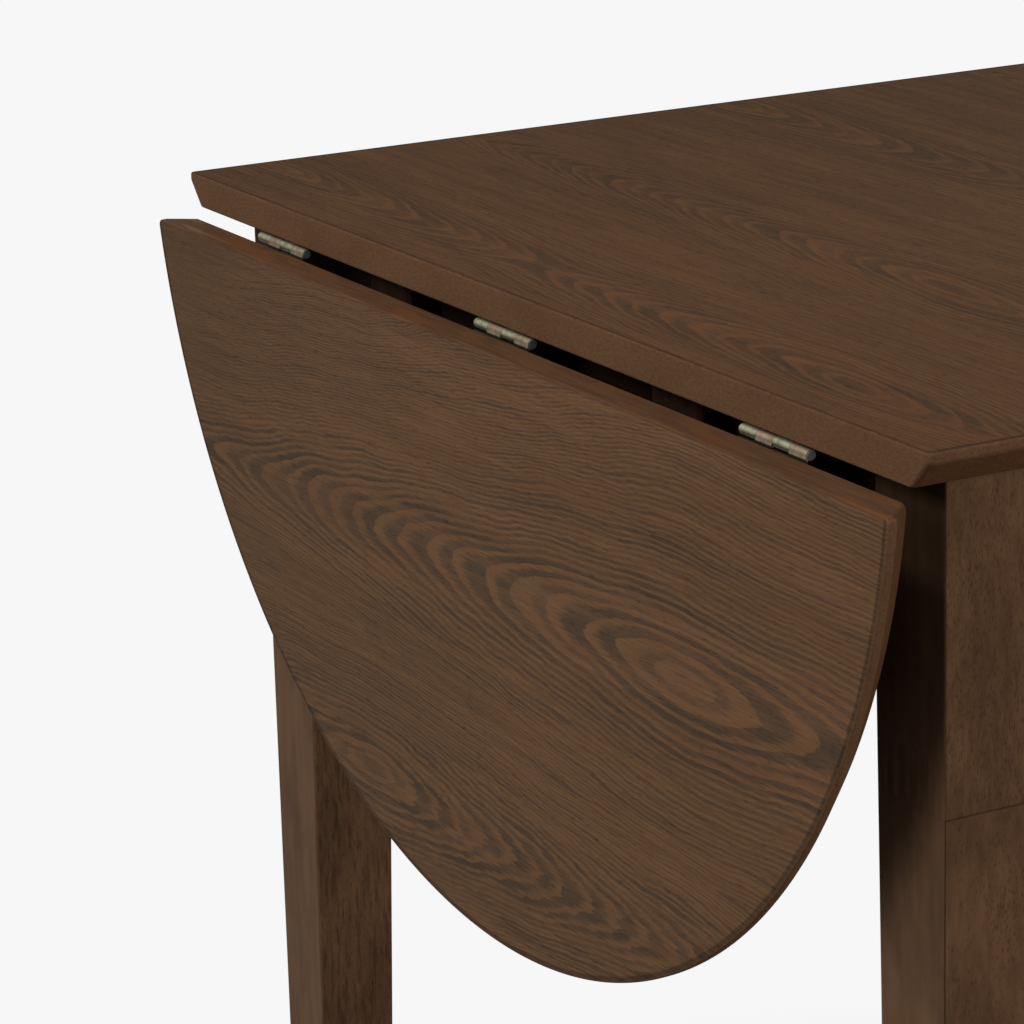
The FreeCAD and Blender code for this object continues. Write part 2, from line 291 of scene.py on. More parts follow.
# %% Lamps
LAMP_AIM = Vector((0.0, 0.0, 0.6))
LAMPS = {"window_lamp": ((-2.5, 0.1, 2.75), 2.0, 107.0),    # place, width, watts
         "front_lamp": ((0.7, -3.3, 1.2), 1.8, 56.0),
         "back_lamp": ((3.2, 2.0, 1.1), 2.0, 40.0)}
for name, (place, width, watts) in LAMPS.items():
    data = bpy.data.lights.new(name, "AREA")
    data.shape = "SQUARE"
    data.size = width
    data.energy = watts
    lamp = put(name, data)
    lamp.location = place
    lamp.rotation_mode = "QUATERNION"
    lamp.rotation_quaternion = (LAMP_AIM - lamp.location).to_track_quat("-Z", "Y")

# %% Floor
FLOOR_REACH = 14.0
SHADOW_REACH = (0.48, 0.8)
FLOOR_BOUNCE = 0.22          # a dark studio floor sends little light back up under the table
corners = [(x * FLOOR_REACH, y * FLOOR_REACH, 0) for x, y in ((-1, -1), (1, -1), (1, 1), (-1, 1))]
floor_mesh = bpy.data.meshes.new("studio_floor")
floor_mesh.from_pydata(corners, [], [(0, 1, 2, 3)])
floor = put("studio_floor", floor_mesh)

floor_paint = bpy.data.materials.new("floor_paint")
tree = empty_tree(floor_paint)
away = ramp(length_of(wire(tree, "TexCoord", output="Object")), *SHADOW_REACH)
seen = seen_directly(tree)
grey = blend_colours(seen, (FLOOR_BOUNCE, FLOOR_BOUNCE, FLOOR_BOUNCE, 1.0), colour_of(250, 250, 250))
matt = wire(tree, "BsdfDiffuse", {"Color": grey})
pale = wire(tree, "Emission", {"Color": BACKDROP, "Strength": 1.0})
either = wire(tree, "MixShader", {0: away * seen, 1: matt, 2: pale})
one_way = wire(tree, "MixShader", {0: wire(tree, "NewGeometry", output="Backfacing"), 1: either,
                                   2: wire(tree, "BsdfTransparent")})
add(tree, "OutputMaterial", {"Surface": one_way})
floor_mesh.materials.append(floor_paint)
print("lamps", len(LAMPS), "floor", FLOOR_REACH * 2, "m across")

# %% [markdown]
# ## Easing the edges
# A joiner takes the sharp arris off every board with sandpaper, and that sliver of round is what catches the
# light. The solids have dead sharp edges, so each wooden or metal piece is copied, its flat faces joined back
# together, and its edges bevelled by half a millimetre or so. The new slivers are remembered in an attribute
# called arris, which the finishes read, because stain gathers and rubs off there. A Bevel modifier would do
# the same, but only the mesh operator says which faces are new.

# %% Edge easing
SHARP_TURN = math.radians(28)
FLAT_TURN = math.radians(0.6)
BIG_FACE = 0.0003            # square metres; bigger flats keep their own shading


def ease_edges(form, width, segments=2):
    """Bevel every sharp edge of a closed form, and mark the new faces in the attribute arris."""
    bmesh.ops.remove_doubles(form, verts=form.verts, dist=0.005 * MM)
    bmesh.ops.dissolve_limit(form, angle_limit=FLAT_TURN, verts=form.verts, edges=form.edges)
    arris = form.faces.layers.float.new("arris")
    if width:
        sharp = [edge for edge in form.edges
                 if len(edge.link_faces) == 2 and edge.calc_face_angle(0.0) > SHARP_TURN]
        slivers = bmesh.ops.bevel(form, geom=sharp, offset=width, offset_type="OFFSET", segments=segments,
                                  profile=0.5, affect="EDGES", clamp_overlap=True)["faces"]
        for face in slivers:
            face[arris] = 1.0
    mark_creases(form)


def mark_creases(form):
    """Shade every face smooth, but keep sharp turns and the rims of big flats crisp."""
    for face in form.faces:
        face.smooth = True
    for edge in form.edges:
        if len(edge.link_faces) == 2:
            turned = edge.calc_face_angle(0.0)
            by_flat = max(face.calc_area() for face in edge.link_faces) > BIG_FACE
            if turned > SHARP_TURN or (by_flat and turned > FLAT_TURN):
                edge.smooth = False


def stand_in(form, name, node):
    """Turn a finished form into a piece that stands for a solid and moves with its body."""
    mesh = bpy.data.meshes.new(name + node)
    form.to_mesh(mesh)
    form.free()
    piece = put(name + node, mesh)
    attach(piece, frame["nodes"][node]["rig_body"])
    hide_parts(node)
    return piece


def eased_copy(node, width_mm, segments=2):
    form = bmesh.new()
    form.from_mesh(frame["nodes"][node].data)
    ease_edges(form, width_mm * MM, segments)
    return stand_in(form, "eased_", node)


def extent_mm(piece):
    """The lowest and highest corner of a piece."""
    spots = [vertex.co / MM for vertex in piece.data.vertices]
    return [[round(pick(spot[i] for spot in spots), 1) for i in range(3)] for pick in (min, max)]


# %% [markdown]
# ## Boards
# The top and the leaves are veneered boards with a moulded rim. A router leaves a narrow upright band under
# the face, and below it a slope that runs in under the board, so that a thick board looks light. The edges
# that the hinges join stay square. Each level of such a board is one outline, drawn in a little by the
# moulding, so the board is made as a stack of outlines. That gives clean rounded arrises and tips, which a
# bevel could not find room for.

# %% Moulding
HANG = math.radians(91.4)
PIN_X, PIN_Z = 0.2994, 0.7299
FACE_Z = 0.75
TOP_HALF_WIDTH_MM, TOP_HALF_LENGTH_MM = 300.0, 350.0
LEAF_BUTT_MM, LEAF_DEPTH_MM, LEAF_RADIUS_MM = 302.1, 300.0, 354.1667
LEAF_CENTRE_MM = LEAF_BUTT_MM + LEAF_DEPTH_MM - LEAF_RADIUS_MM
THICK_MM, BAND_MM, INSET_MM, UNDER_ROUND_MM, ARRIS_MM, CORNER_MM = 17.2, 4.0, 12.0, 4.0, 1.0, 3.0
CORNER_STEPS, RIM_STEPS = 6, 240


def square_inset(depth):
    """How far the eased arrises draw in a square edge, at a depth below the face, in mm."""
    into = max(ARRIS_MM - depth, depth - THICK_MM + ARRIS_MM, 0.0)
    return ARRIS_MM - math.sqrt(max(ARRIS_MM ** 2 - into ** 2, 0.0))


def moulded_levels():
    """Levels from the face to the underside: depth below the face, and inset of the moulded rim, in mm."""
    quarter = [math.radians(turn) for turn in (0, 22.5, 45, 67.5, 90)]
    levels = [(ARRIS_MM * (1 - math.cos(t)), ARRIS_MM * (1 - math.sin(t))) for t in quarter]
    run_in = INSET_MM / (THICK_MM - BAND_MM)
    levels += [(1.3, 0.0), (3.5, 0.0), (3.95, 0.07)]    # levels close to a turn keep its shading crisp
    levels += [(depth, (depth - BAND_MM) * run_in) for depth in (4.35, 4.8, 15.3)]
    turned = math.pi / 2 - math.atan(run_in)
    flat_from = INSET_MM + UNDER_ROUND_MM * math.tan(turned / 2)
    for step in range(5):
        t = turned * (1 - step / 4)
        levels.append((THICK_MM - UNDER_ROUND_MM * (1 - math.cos(t)),
                       flat_from - UNDER_ROUND_MM * math.sin(t)))
    return levels


def arc(x, y, radius, start, end, steps):
    turns = [start + (end - start) * step / steps for step in range(steps + 1)]
    return [(x + radius * math.cos(t), y + radius * math.sin(t)) for t in turns]


def top_outline(rim_in, square_in):
    """A rectangle with rounded corners, moulded at its two ends."""
    corner = CORNER_MM - square_in
    x, y = TOP_HALF_WIDTH_MM - square_in - corner, TOP_HALF_LENGTH_MM - rim_in - corner
    points = []
    for number, (side, end) in enumerate(((1, 1), (-1, 1), (-1, -1), (1, -1))):
        start = number * math.pi / 2
        points += arc(side * x, end * y, corner, start, start + math.pi / 2, CORNER_STEPS)
    return points


def leaf_outline(side):
    """A disc cut off along the square edge, with rounded tips, lying flat at one side of the top."""
    def outline(rim_in, square_in):
        corner, reach = CORNER_MM - square_in, LEAF_RADIUS_MM - rim_in
        tip_x = LEAF_BUTT_MM + square_in + corner
        tip_y = math.sqrt((reach - corner) ** 2 - (tip_x - LEAF_CENTRE_MM) ** 2)
        meet = math.atan2(tip_y, tip_x - LEAF_CENTRE_MM)
        points = arc(tip_x, tip_y, corner, math.pi, meet, CORNER_STEPS)
        points += arc(LEAF_CENTRE_MM, 0.0, reach, meet, -meet, RIM_STEPS)[1:-1]
        points += arc(tip_x, -tip_y, corner, -meet, -math.pi, CORNER_STEPS)
        return [(side * x, y) for x, y in points]
    return outline


# %% Stack a board
def lay_flat(side):
    """Turns the hanging leaf of one side (-1 left, 1 right) back up to level."""
    pin = Vector((side * PIN_X, 0.0, PIN_Z))
    return Matrix.Translation(pin) @ Matrix.Rotation(-side * HANG, 4, "Y") @ Matrix.Translation(-pin)


def stacked_board(node, outline, side=0, worn=1.0):
    """Material slots: 0 veneered faces, 1 moulded rims, 2 the square edges that the hinges join."""
    form = bmesh.new()
    arris = form.faces.layers.float.new("arris")
    levels = [[form.verts.new((x * MM, y * MM, FACE_Z - depth * MM))
               for x, y in outline(rim_in, square_inset(depth))] for depth, rim_in in moulded_levels()]
    form.faces.new(levels[0])
    form.faces.new(levels[-1])
    for number, (upper, lower) in enumerate(zip(levels, levels[1:])):
        for spot in range(len(upper)):
            face = form.faces.new((upper[spot - 1], upper[spot], lower[spot], lower[spot - 1]))
            face[arris] = worn if number < 2 else 0.0
    bmesh.ops.recalc_face_normals(form, faces=form.faces)
    for face in form.faces:
        if len(face.verts) == 4:
            square = abs(face.normal.x) > abs(face.normal.y) and face.normal.x * side <= 0
            face.material_index = 2 if square else 1
    if side:
        form.transform(lay_flat(side).inverted())
    mark_creases(form)
    return stand_in(form, "moulded_", node)


SIDES = ((-1, "left"), (1, "right"))
ENDS = ((-1, "near"), (1, "far"))
top = stacked_board("top_panel", top_outline)
leaves = {side: stacked_board("leaf_" + name, leaf_outline(side), side, 0.3) for side, name in SIDES}
print("top", extent_mm(top), "left leaf", extent_mm(leaves[-1]))

# %% [markdown]
# ## Legs
# Each leg is square at the head and tapers below it on its two inner faces only. That is a rule, so
# a geometry tree makes it: a rounded square is swept along an upright line, shrinks towards the foot, and is
# then slid so that its outer faces stay upright. One tree with a sign for each direction gives all four legs.

# %% Leg tree
HEAD_LOW = 0.6398
FACE_X, FACE_Y = 0.275, 0.325


def end_tree(group, name, geometry, material):
    """A geometry tree ends in real faces with a material on them."""
    real = wire(group, "GeometryNodeRealizeInstances", {0: geometry})
    painted = wire(group, "GeometryNodeSetMaterial", {"Geometry": real, "Material": material})
    return close_group(group, {name: painted})


def leg_tree():
    group, given = new_group("tapered_leg", {
        "Head Width": 0.052, "Foot Width": 0.038, "Arris": 0.0015, "Top": 0.7328, "Head Low": HEAD_LOW,
        "Foot": 0.005, "Face X": FACE_X, "Face Y": FACE_Y, "Side": 1.0, "End": 1.0,
        "Wood": "Material"}, "Geometry")
    head_width, foot_width = given["Head Width"], given["Foot Width"]
    section = wire(group, "GeometryNodeCurvePrimitiveQuadrilateral", {
        "Width": head_width, "Height": head_width})
    rounded = wire(group, "GeometryNodeFilletCurve", {"Curve": section, "Radius": given["Arris"], "Count": 4},
                   mode="POLY")
    place = wire(group, "GeometryNodeInputPosition")
    share = wire(group, "MapRange", {"Value": split(place)[2], "From Min": given["Foot"],
                                     "From Max": given["Head Low"]}, "Result")
    width = share.line(head_width - foot_width, foot_width)
    both = add(group, "GeometryNodeJoinGeometry")
    for start, end in (("Foot", "Head Low"), ("Head Low", "Top")):
        run = wire(group, "GeometryNodeCurvePrimitiveLine", {"Start": vector_of(0.0, 0.0, given[start]),
                                                             "End": vector_of(0.0, 0.0, given[end])})
        feed(both.inputs[0], wire(group, "GeometryNodeCurveToMesh", {
            "Curve": run, "Profile Curve": rounded, "Scale": width / head_width, "Fill Caps": True}))
    inset = width * -0.5
    placed = wire(group, "GeometryNodeSetPosition", {
        "Geometry": Wire(group, both.outputs[0]),
        "Offset": vector_of(given["Face X"] + inset, given["Face Y"] + inset)})
    turned = wire(group, "VectorMath", {0: place, 1: vector_of(given["Side"], given["End"], 1.0)},
                  operation="MULTIPLY")
    quarter = wire(group, "GeometryNodeSetPosition", {"Geometry": placed, "Position": turned})
    return end_tree(group, "Leg", quarter, given["Wood"])


def grow(tree, name, values, start_mesh=None):
    """Run a geometry tree on a mesh and give its result as a plain mesh."""
    host = put(name, start_mesh or bpy.data.meshes.new(name))
    modifier = host.modifiers.new("tree", "NODES")
    modifier.node_group = tree
    for item in tree.interface.items_tree:
        if item.item_type == "SOCKET" and item.in_out == "INPUT" and item.name in values:
            modifier[item.identifier] = values[item.name]
    grown = bpy.data.meshes.new_from_object(host.evaluated_get(bpy.context.evaluated_depsgraph_get()))
    host.modifiers.remove(modifier)
    bpy.data.objects.remove(host)
    grown.name = name
    return grown


# %% Four legs
leg_wood = bpy.data.materials.new("leg_side_wood")
tapered_leg = leg_tree()
legs = []
for side, side_name in SIDES:
    for end, end_name in ENDS:
        node = "leg_%s_%s" % (side_name, end_name)
        form = bmesh.new()
        form.from_mesh(grow(tapered_leg, node, {"Side": float(side), "End": float(end), "Wood": leg_wood}))
        bmesh.ops.remove_doubles(form, verts=form.verts, dist=0.01 * MM)
        inner = [face for face in form.faces if all(abs(v.co.z - HEAD_LOW) < 1e-6 for v in face.verts)]
        bmesh.ops.delete(form, geom=inner, context="FACES_ONLY")
        bmesh.ops.recalc_face_normals(form, faces=form.faces)
        ease_edges(form, 0.4 * MM)
        leg = stand_in(form, "tapered_", node)
        for face in leg.data.polygons:
            face.material_index = 0 if abs(face.normal.x) > 0.7 else 1
        legs.append(leg)
print("near left leg", extent_mm(legs[0]), "faces", len(legs[0].data.polygons))

# %% [markdown]
# ## Rails under the top
# Aprons, pull-out supports, guide rails and corner blocks are plain boards, sanded but never shaped.
# Their solids are right as they stand, so eased copies are all they need.

# %% Under-structure
quarters = ["%s_%s" % (a, b) for a in ("left", "right") for b in ("near", "far")]
aprons = {name: eased_copy("apron_" + name, 0.6) for name in ("left", "right", "near", "far")}
lopers = [eased_copy("loper_" + name, 0.5) for name in quarters]
blocks = [eased_copy("corner_block_" + name, 0.5) for name in quarters]
guides = [eased_copy("guide_rail_%s_%s" % (a, b), 0.5)
          for a in ("near", "far") for b in ("inner", "outer")]
print("rails and blocks", len(aprons) + len(lopers) + len(blocks) + len(guides))

# %% [markdown]
# ## Hinges
# Stamped steel butt hinges: two thin plates whose ends are rolled round a pin in turns. Stamping leaves
# a soft edge, so the copies are eased too, by less than the wood. The pin's ends are hammered out, or peened,
# into thin heads as wide as the barrel, so that it can't slip out; it is a round profile, spun.

# %% Hinge pins
HALF_BARREL = 26.5 * MM
PIN_PROFILE = ((0.0, 0.5), (2.0, 0.5), (2.15, 0.36), (2.15, 0.05), (1.2, 0.05))    # radius, past barrel, mm
PIN_SIDES = 24


def peened_pin(node, side, hinge_y):
    half = [(radius * MM, HALF_BARREL + out * MM) for radius, out in PIN_PROFILE]
    outline = half + [(radius, -y) for radius, y in reversed(half)]
    form = bmesh.new()
    middle = Vector((side * PIN_X, hinge_y, PIN_Z))
    rings = []
    for radius, y in outline:
        turns = [2 * math.pi * step / PIN_SIDES for step in range(PIN_SIDES if radius else 1)]
        rings.append([form.verts.new(middle + Vector((radius * math.cos(t), y, radius * math.sin(t))))
                      for t in turns])
    for one, other in zip(rings, rings[1:]):
        for step in range(PIN_SIDES):
            following = (step + 1) % PIN_SIDES
            if len(one) == 1:
                form.faces.new((one[0], other[step], other[following]))
            elif len(other) == 1:
                form.faces.new((one[step], other[0], one[following]))
            else:
                form.faces.new((one[step], other[step], other[following], one[following]))
    bmesh.ops.recalc_face_normals(form, faces=form.faces)
    ease_edges(form, 0.0)
    return stand_in(form, "peened_", node)


# %% Hinge plates
plates, pins = [], []
hinge_places = (("near", -0.2365), ("middle", 0.0), ("far", 0.2365))
for side, side_name in SIDES:
    for place_name, hinge_y in hinge_places:
        stem = "hinge_%s_%s_" % (side_name, place_name)
        plates += [eased_copy(stem + plate, 0.2, 1) for plate in ("top_plate", "leaf_plate")]
        pins.append(peened_pin(stem + "pin", side, hinge_y))
print("hinge plates", len(plates), "with", sum(len(p.data.polygons) for p in plates), "faces")

# %% [markdown]
# ## Wood screws
# Small countersunk screws with a cross recess hold the hinges, the guide rails, the corner blocks and the
# brackets. They repeat, so a geometry tree puts one screw head on each point of a little mesh: the point says
# where, its attribute look says which way the head faces, and a fixed seed turns each recess its own way.

# %% Screw tree
SCREW_SIDES = 20


def screw_tree():
    group, given = new_group("wood_screws", {
        "Places": "Geometry", "Head Radius": 0.0029, "Head Depth": 0.0013, "Recess": 0.0034,
        "Recess Width": 0.0007, "Proud": 0.0002, "Seed": 7, "Steel": "Material"}, "Geometry")
    head_radius, head_depth, proud = given["Head Radius"], given["Head Depth"], given["Proud"]
    cone = wire(group, "GeometryNodeMeshCone", {
        "Vertices": SCREW_SIDES, "Radius Top": head_radius, "Radius Bottom": head_radius * 0.5,
        "Depth": head_depth})
    sunk = wire(group, "GeometryNodeTransform", {
        "Geometry": cone, "Translation": vector_of(0.0, 0.0, proud - head_depth)})
    deep = head_depth * 1.2
    bars = add(group, "GeometryNodeJoinGeometry")
    for across, along in (("Recess", "Recess Width"), ("Recess Width", "Recess")):
        bar = wire(group, "GeometryNodeMeshCube", {"Size": vector_of(given[across], given[along], deep)})
        feed(bars.inputs[0], wire(group, "GeometryNodeTransform", {
            "Geometry": bar, "Translation": vector_of(0.0, 0.0, proud)}))
    cut = wire(group, "GeometryNodeMeshBoolean", {
        "Mesh 1": sunk, "Mesh 2": Wire(group, bars.outputs[0]), "Self Intersection": True},
        operation="DIFFERENCE", solver="EXACT")
    look = wire(group, "GeometryNodeInputNamedAttribute", {"Name": "look"}, data_type="FLOAT_VECTOR")
    facing = wire(group, "FunctionNodeAlignRotationToVector", {"Vector": look}, axis="Z")
    spin = wire(group, "FunctionNodeRandomValue", {"Seed": given["Seed"], 3: math.pi}, 1, data_type="FLOAT")
    twist = wire(group, "FunctionNodeEulerToRotation", {0: vector_of(0.0, 0.0, spin)})
    turn = wire(group, "FunctionNodeRotateRotation", {"Rotation": facing, "Rotate By": twist},
                rotation_space="LOCAL")
    spread = wire(group, "GeometryNodeInstanceOnPoints", {
        "Points": given["Places"], "Instance": cut, "Rotation": turn})
    return end_tree(group, "Screws", spread, given["Steel"])


# %% Where the screws go
HINGE_SCREWS_MM = ((11.0, -17.0), (16.0, 0.0), (11.0, 17.0))    # out from the pin, and along the plate
PLATE_FACE_Z = PIN_Z + 1.7 * MM
RAIL_SCREW_LINES, RAIL_SCREW_REACH = (0.107, 0.168), 0.212
BLOCK_SCREWS, BLOCK_SCREW_RISE = ((0.2407, 0.2185), (0.1685, 0.2907)), 0.018
BRACKET_FACE_Z, BRACKET_SCREW_Z = 0.7308, 0.7188
screws = {"frame": [], "leaf_left": [], "leaf_right": []}


def add_screw(x, y, z, look=(0, 0, -1), body="frame"):
    """One more screw of a body; look is the way that its head faces, down for most."""
    screws[body].append((Vector((x, y, z)), Vector(look)))


for side, side_name in SIDES:
    hang_down = lay_flat(side).inverted()
    hung_look = hang_down.to_3x3() @ Vector((0, 0, -1))
    for _, hinge_y in hinge_places:
        for out_mm, along_mm in HINGE_SCREWS_MM:
            along = hinge_y + along_mm * MM
            add_screw(side * (PIN_X - out_mm * MM), along, PLATE_FACE_Z)
            hung = hang_down @ Vector((side * (PIN_X + out_mm * MM), along, PLATE_FACE_Z))
            add_screw(*hung, hung_look, "leaf_" + side_name)
rail_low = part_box("guide_rail_far_outer")[0].z
for end, _ in ENDS:
    for line in RAIL_SCREW_LINES:
        for x in (-RAIL_SCREW_REACH, 0.0, RAIL_SCREW_REACH):
            add_screw(x, end * line, rail_low)
block_low, block_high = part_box("corner_block_right_far")
block_middle_z = (block_low.z + block_high.z) / 2
for side, _ in SIDES:
    for end, _ in ENDS:
        for x, y in BLOCK_SCREWS:
            for rise in (-BLOCK_SCREW_RISE, BLOCK_SCREW_RISE):
                add_screw(side * x, end * y, block_middle_z + rise, (-side, -end, 0))
        for x, y, look in ((0.250, 0.045, (-side, 0, 0)), (0.110, 0.300, (0, -end, 0))):
            add_screw(side * x, end * y, BRACKET_SCREW_Z, look)
        for x, y in ((0.238, 0.045), (0.110, 0.288)):
            add_screw(side * x, end * y, BRACKET_FACE_Z)
print("screws", {body: len(rows) for body, rows in screws.items()})

# %% Make the screws, one mesh for each body
screw_steel = bpy.data.materials.new("screw_steel")
wood_screws = screw_tree()
for body, rows in screws.items():
    places = bpy.data.meshes.new("screw_places")
    places.from_pydata([tuple(point) for point, look in rows], [], [])
    looks = places.attributes.new("look", "FLOAT_VECTOR", "POINT")
    for item, (point, look) in zip(looks.data, rows):
        item.vector = look
    name = "screws_" + body
    piece = put(name, grow(wood_screws, name, {"Steel": screw_steel, "Seed": 11}, places))
    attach(piece, body)
    print(piece.name, len(piece.data.polygons), "faces")

# %% [markdown]
# ## The figure of ash veneer
# Ash is ring-porous: each year starts with a band of open pores, which drinks in stain and turns dark, and
# ends in dense light wood. A board sawn flat shows these rings as nested arches round a pointed island, the
# heart of the figure, and as nearly straight lines away from it. A ring count makes both: it rises slowly
# along the grain and quickly across it, and each whole number is one year. One group counts the rings round
# a heart, and a second one turns the count into dark and light wood. Both are fed with millimetres along and
# across the board.

# %% Ring count round one heart
CROWDED = 1.5                # extra rings packed close round the heart
CROWDED_WITHIN = 0.6         # half of them lie within this many rings of it


def heart_group():
    """Rings of a trunk, cut by a board that lies Depth away from the pith and is slightly askew to it."""
    group, given = new_group("rings_round_a_heart", {
        "Along": 0.0, "Across": 0.0, "Heart Along": 0.0, "Heart Across": 0.0, "Tip Spacing": 25.0,
        "Tail Spacing": 15.0, "Ring Width": 1.5, "Depth": 44.0, "Half Length": 40.0, "Start Ring": 0.0,
        "Taper": 0.0})

    def beyond(distance, blunt):
        """Distance that starts flat and soon grows straight: the radius less its least value."""
        return distance.line(distance, blunt * blunt).maths("SQRT") - blunt

    run = given["Along"] - given["Heart Along"]
    tail = given["Tail Spacing"]
    spacing = run.maths("GREATER_THAN", 0.0).line(given["Tip Spacing"] - tail, tail)
    lengthways = beyond(run, given["Half Length"]) / spacing
    closing = run.maths("MAXIMUM", 0.0).line(given["Taper"], 1.0)
    off = (given["Across"] - given["Heart Across"]) * closing
    sideways = beyond(off, given["Depth"]) / given["Ring Width"]
    rings = lengthways + sideways
    rings = rings + rings * CROWDED / (rings + CROWDED_WITHIN)
    return close_group(group, {"Rings": rings + given["Start Ring"], "Sideways": sideways})


# %% Dark and light wood from the ring count
def ring_group():
    """Begin and fade are the two edges of a ring's dark band; fate makes every year different."""
    group, given = new_group("year_rings", {
        "Rings": 0.0, "Along": 0.0, "Across": 0.0, "Dark Share": 0.5, "Coarseness": 0.0, "Calm": 0.0,
        "Seed": 0.0})
    calm = given["Calm"]

    def stretched(along_mm, across_mm, detail, roughness, lift):
        place = vector_of(given["Along"] / along_mm, given["Across"] / across_mm, given["Seed"] + lift)
        return noise(place, detail, roughness)

    saw = (stretched(26.0, 3.0, 2.0, 0.55, 31.0) - 0.5) * given["Coarseness"]
    count = given["Rings"] + saw
    part = count.maths("FRACT")
    fate = wire(group, "TexWhiteNoise", {"W": count.maths("FLOOR")}, "Value", noise_dimensions="1D")
    hatch = stretched(16.0, 0.8, 2.0, 0.6, 7.0) - 0.5
    begin = ramp(part, 0.0, 0.07)
    middle = fate.line(0.24, calm.line(0.06, given["Dark Share"] - 0.12))
    fade = ramp(hatch.line(0.9, part), middle - 0.14, middle + 0.16, 1.0, 0.0)
    patch = ramp(stretched(130.0, 9.0, 2.0, 0.5, 23.0), 0.3, 0.65, 0.45, 1.0)
    depth = fate.line(0.45, 0.55) * (patch * calm.line(-0.15, 1.0))
    dark = begin * fade * depth
    pores = ramp(stretched(7.0, 0.5, 1.0, 0.5, 19.0) - dark.line(-0.08, 0.62), 0.0, 0.08)
    return close_group(group, {
        "Dark": dark, "Pores": pores, "Streaks": stretched(80.0, 2.2, 4.0, 0.6, 11.0),
        "Threads": stretched(45.0, 0.9, 2.0, 0.6, 41.0)})


hearts_group, rings_group = heart_group(), ring_group()
print("figure nodes", len(hearts_group.nodes), "and", len(rings_group.nodes))

# %% [markdown]
# ## Plain stained wood
# Legs, aprons, edges and rails are a close, even hardwood with short fine pores, stained the same brown. One
# group gives the masks that all of them share: soft streaks and short pore dashes along the grain, and cloudy
# patches where the stain took unevenly. It expects the grain to run along Z.

# %% Grain masks for solid wood
def grain_group():
    group, given = new_group("straight_grain", {
        "Place": "Vector", "Streak Width": 5.0, "Streak Length": 110.0, "Pore Width": 0.75,
        "Pore Length": 5.0, "Pore Gate": 0.7, "Seed": 0.0})
    x, y, z = split(given["Place"])

    def stretched(width_mm, length_mm, detail, lift):
        around = 1.0 / width_mm
        place = vector_of(x * around, y * around, z / length_mm)
        shift = vector_of(given["Seed"], lift, lift)
        return noise(wire(group, "VectorMath", {0: place, 1: shift}, operation="ADD"), detail, 0.55)

    pore_gate = stretched(14.0, 40.0, 2.0, 9.0).line(-0.25, given["Pore Gate"])
    fine = stretched(given["Pore Width"], given["Pore Length"], 1.0, 5.0)
    return close_group(group, {
        "Streaks": stretched(given["Streak Width"], given["Streak Length"], 4.0, 0.0),
        "Pores": ramp(fine - pore_gate, 0.0, 0.07), "Clouds": stretched(30.0, 60.0, 3.0, 15.0)})


plain_grain = grain_group()
print("grain nodes", len(plain_grain.nodes))

# %% Material helpers
WOOD_GLOSS = 0.003           # an oiled, matt finish
WOOD_ROUGHNESS = 0.5
CLOUDY = (0.35, 0.7)         # a step this wide takes in most of a noise, so that it stays soft


def new_material(name, material=None):
    """A material with only its shader and output."""
    material = material or bpy.data.materials.new(name)
    tree = empty_tree(material)
    shader = add(tree, "BsdfPrincipled")
    add(tree, "OutputMaterial", {"Surface": Wire(tree, shader.outputs[0])})
    return material, tree, shader


def millimetres(tree, turn=(0.0, 0.0, 0.0), shift_mm=(0.0, 0.0, 0.0)):
    """Object coordinates in millimetres, turned and shifted."""
    return wire(tree, "Mapping", {
        "Vector": wire(tree, "TexCoord", output="Object"), "Rotation": turn, "Location": shift_mm,
        "Scale": (1000.0, 1000.0, 1000.0)}, vector_type="POINT")


def bump_of(height, depth_mm):
    return wire(height.tree, "Bump", {"Height": height, "Distance": depth_mm * MM, "Strength": 1.0})


# %% [markdown]
# ## Stained veneer
# The finish is built up as on the real board: light wood, darker rings, long faint streaks, open pores full
# of brown stain, and a dark line round the face where stain has gathered. On top of that, painted shade
# darkens each board gently towards its far end, and the leaves' far corner by the hinged edge. Each board has
# its own hearts, and slow noises bend the coordinates, so that the arches don't look drawn.

# %% Veneer
PORE_BROWN = colour_of(46, 35, 27)
HEART_VALUES = ("Heart Along", "Heart Across", "Half Length", "Tip Spacing", "Tail Spacing", "Ring Width",
                "Depth", "Start Ring", "Taper")


